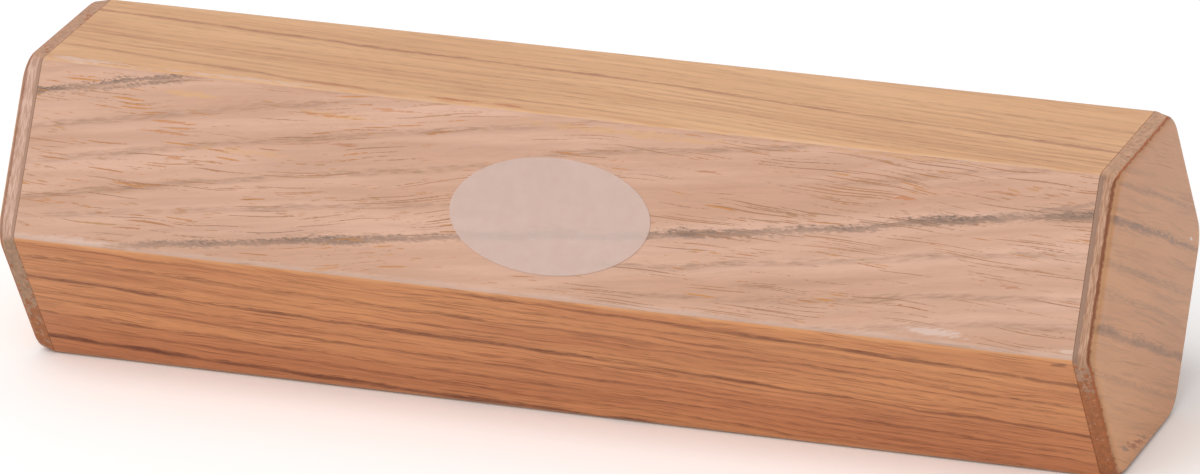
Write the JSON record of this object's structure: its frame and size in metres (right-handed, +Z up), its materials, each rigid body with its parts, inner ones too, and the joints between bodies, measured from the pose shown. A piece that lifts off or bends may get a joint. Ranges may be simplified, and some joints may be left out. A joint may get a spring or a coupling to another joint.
{
  "type": "hexagonal wooden shaker",
  "caption": "Hexagonal wooden tube shaker of glued staves with plywood end caps, a blank oval label and loose steel shot that rattles inside when it is shaken.",
  "frame": {"origin": "on the lowest flat, under the middle of the tube", "axes": "+X along the tube, to the right as seen from the labelled side, +Y away from that side, +Z up"},
  "size_m": [0.2, 0.0636, 0.0554],
  "materials": {
    "pale_stave_wood": "satin",
    "rosy_stave_wood": "satin",
    "red_brown_stave_wood": "satin",
    "brown_stave_wood": "satin",
    "plywood": "satin",
    "label_film": "satin",
    "steel_shot": "polished"
  },
  "bodies": {
    "shell": {"stave_top": "pale_stave_wood", "stave_front_upper": "rosy_stave_wood", "stave_front_lower": "red_brown_stave_wood", "stave_bottom": "brown_stave_wood", "stave_back_lower": "red_brown_stave_wood", "stave_back_upper": "pale_stave_wood", "end_cap_left": "plywood", "end_cap_right": "plywood", "oval_label": "label_film"},
    "shot_01": {"shot_01": "steel_shot"},
    "shot_02": {"shot_02": "steel_shot"},
    "shot_03": {"shot_03": "steel_shot"},
    "shot_04": {"shot_04": "steel_shot"},
    "shot_05": {"shot_05": "steel_shot"},
    "shot_06": {"shot_06": "steel_shot"},
    "shot_07": {"shot_07": "steel_shot"},
    "shot_08": {"shot_08": "steel_shot"},
    "shot_09": {"shot_09": "steel_shot"},
    "shot_10": {"shot_10": "steel_shot"},
    "shot_11": {"shot_11": "steel_shot"},
    "shot_12": {"shot_12": "steel_shot"},
    "shot_13": {"shot_13": "steel_shot"},
    "shot_14": {"shot_14": "steel_shot"},
    "shot_15": {"shot_15": "steel_shot"},
    "shot_16": {"shot_16": "steel_shot"},
    "shot_17": {"shot_17": "steel_shot"},
    "shot_18": {"shot_18": "steel_shot"},
    "shot_19": {"shot_19": "steel_shot"},
    "shot_20": {"shot_20": "steel_shot"},
    "shot_21": {"shot_21": "steel_shot"},
    "shot_22": {"shot_22": "steel_shot"},
    "shot_23": {"shot_23": "steel_shot"},
    "shot_24": {"shot_24": "steel_shot"},
    "shot_25": {"shot_25": "steel_shot"},
    "shot_26": {"shot_26": "steel_shot"},
    "shot_27": {"shot_27": "steel_shot"},
    "shot_28": {"shot_28": "steel_shot"},
    "shot_29": {"shot_29": "steel_shot"},
    "shot_30": {"shot_30": "steel_shot"},
    "shot_31": {"shot_31": "steel_shot"},
    "shot_32": {"shot_32": "steel_shot"},
    "shot_33": {"shot_33": "steel_shot"},
    "shot_34": {"shot_34": "steel_shot"},
    "shot_35": {"shot_35": "steel_shot"},
    "shot_36": {"shot_36": "steel_shot"},
    "shot_37": {"shot_37": "steel_shot"}
  },
  "joints": [
    {"name": "shot_01_run", "type": "slide", "parent": "shell", "child": "shot_01", "axis": [0, 1, 0], "range_m": [-0.0151, 0.00933]},
    {"name": "shot_02_run", "type": "slide", "parent": "shell", "child": "shot_02", "axis": [0, 1, 0], "range_m": [-0.00577, 0.01867]},
    {"name": "shot_03_run", "type": "slide", "parent": "shell", "child": "shot_03", "axis": [0, 1, 0], "range_m": [-0.02087, 0.00357]},
    {"name": "shot_04_run", "type": "slide", "parent": "shell", "child": "shot_04", "axis": [0, 1, 0], "range_m": [-0.01154, 0.0129]},
    {"name": "shot_05_run", "type": "slide", "parent": "shell", "child": "shot_05", "axis": [0, 1, 0], "range_m": [-0.0022, 0.02223]},
    {"name": "shot_06_run", "type": "slide", "parent": "shell", "child": "shot_06", "axis": [0, 1, 0], "range_m": [-0.01731, 0.00713]},
    {"name": "shot_07_run", "type": "slide", "parent": "shell", "child": "shot_07", "axis": [0, 1, 0], "range_m": [-0.00797, 0.01646]},
    {"name": "shot_08_run", "type": "slide", "parent": "shell", "child": "shot_08", "axis": [0, 1, 0], "range_m": [-0.02307, 0.00136]},
    {"name": "shot_09_run", "type": "slide", "parent": "shell", "child": "shot_09", "axis": [0, 1, 0], "range_m": [-0.01374, 0.01069]},
    {"name": "shot_10_run", "type": "slide", "parent": "shell", "child": "shot_10", "axis": [0, 1, 0], "range_m": [-0.00441, 0.02003]},
    {"name": "shot_11_run", "type": "slide", "parent": "shell", "child": "shot_11", "axis": [0, 1, 0], "range_m": [-0.01951, 0.00493]},
    {"name": "shot_12_run", "type": "slide", "parent": "shell", "child": "shot_12", "axis": [0, 1, 0], "range_m": [-0.01018, 0.01426]},
    {"name": "shot_13_run", "type": "slide", "parent": "shell", "child": "shot_13", "axis": [0, 1, 0], "range_m": [-0.00084, 0.0236]},
    {"name": "shot_14_run", "type": "slide", "parent": "shell", "child": "shot_14", "axis": [0, 1, 0], "range_m": [-0.01594, 0.00849]},
    {"name": "shot_15_run", "type": "slide", "parent": "shell", "child": "shot_15", "axis": [0, 1, 0], "range_m": [-0.00661, 0.01783]},
    {"name": "shot_16_run", "type": "slide", "parent": "shell", "child": "shot_16", "axis": [0, 1, 0], "range_m": [-0.02171, 0.00272]},
    {"name": "shot_17_run", "type": "slide", "parent": "shell", "child": "shot_17", "axis": [0, 1, 0], "range_m": [-0.01238, 0.01206]},
    {"name": "shot_18_run", "type": "slide", "parent": "shell", "child": "shot_18", "axis": [0, 1, 0], "range_m": [-0.00304, 0.02139]},
    {"name": "shot_19_run", "type": "slide", "parent": "shell", "child": "shot_19", "axis": [0, 1, 0], "range_m": [-0.01815, 0.00629]},
    {"name": "shot_20_run", "type": "slide", "parent": "shell", "child": "shot_20", "axis": [0, 1, 0], "range_m": [-0.00881, 0.01562]},
    {"name": "shot_21_run", "type": "slide", "parent": "shell", "child": "shot_21", "axis": [0, 1, 0], "range_m": [-0.02392, 0.00052]},
    {"name": "shot_22_run", "type": "slide", "parent": "shell", "child": "shot_22", "axis": [0, 1, 0], "range_m": [-0.01458, 0.00985]},
    {"name": "shot_23_run", "type": "slide", "parent": "shell", "child": "shot_23", "axis": [0, 1, 0], "range_m": [-0.00525, 0.01919]},
    {"name": "shot_24_run", "type": "slide", "parent": "shell", "child": "shot_24", "axis": [0, 1, 0], "range_m": [-0.02035, 0.00409]},
    {"name": "shot_25_run", "type": "slide", "parent": "shell", "child": "shot_25", "axis": [0, 1, 0], "range_m": [-0.01102, 0.01342]},
    {"name": "shot_26_run", "type": "slide", "parent": "shell", "child": "shot_26", "axis": [0, 1, 0], "range_m": [-0.00168, 0.02275]},
    {"name": "shot_27_run", "type": "slide", "parent": "shell", "child": "shot_27", "axis": [0, 1, 0], "range_m": [-0.01679, 0.00765]},
    {"name": "shot_28_run", "type": "slide", "parent": "shell", "child": "shot_28", "axis": [0, 1, 0], "range_m": [-0.00745, 0.01698]},
    {"name": "shot_29_run", "type": "slide", "parent": "shell", "child": "shot_29", "axis": [0, 1, 0], "range_m": [-0.02255, 0.00188]},
    {"name": "shot_30_run", "type": "slide", "parent": "shell", "child": "shot_30", "axis": [0, 1, 0], "range_m": [-0.01322, 0.01121]},
    {"name": "shot_31_run", "type": "slide", "parent": "shell", "child": "shot_31", "axis": [0, 1, 0], "range_m": [-0.00389, 0.02055]},
    {"name": "shot_32_run", "type": "slide", "parent": "shell", "child": "shot_32", "axis": [0, 1, 0], "range_m": [-0.01899, 0.00545]},
    {"name": "shot_33_run", "type": "slide", "parent": "shell", "child": "shot_33", "axis": [0, 1, 0], "range_m": [-0.00966, 0.01478]},
    {"name": "shot_34_run", "type": "slide", "parent": "shell", "child": "shot_34", "axis": [0, 1, 0], "range_m": [-0.00032, 0.02412]},
    {"name": "shot_35_run", "type": "slide", "parent": "shell", "child": "shot_35", "axis": [0, 1, 0], "range_m": [-0.01542, 0.00901]},
    {"name": "shot_36_run", "type": "slide", "parent": "shell", "child": "shot_36", "axis": [0, 1, 0], "range_m": [-0.00609, 0.01835]},
    {"name": "shot_37_run", "type": "slide", "parent": "shell", "child": "shot_37", "axis": [0, 1, 0], "range_m": [-0.02119, 0.00324]}
  ]
}
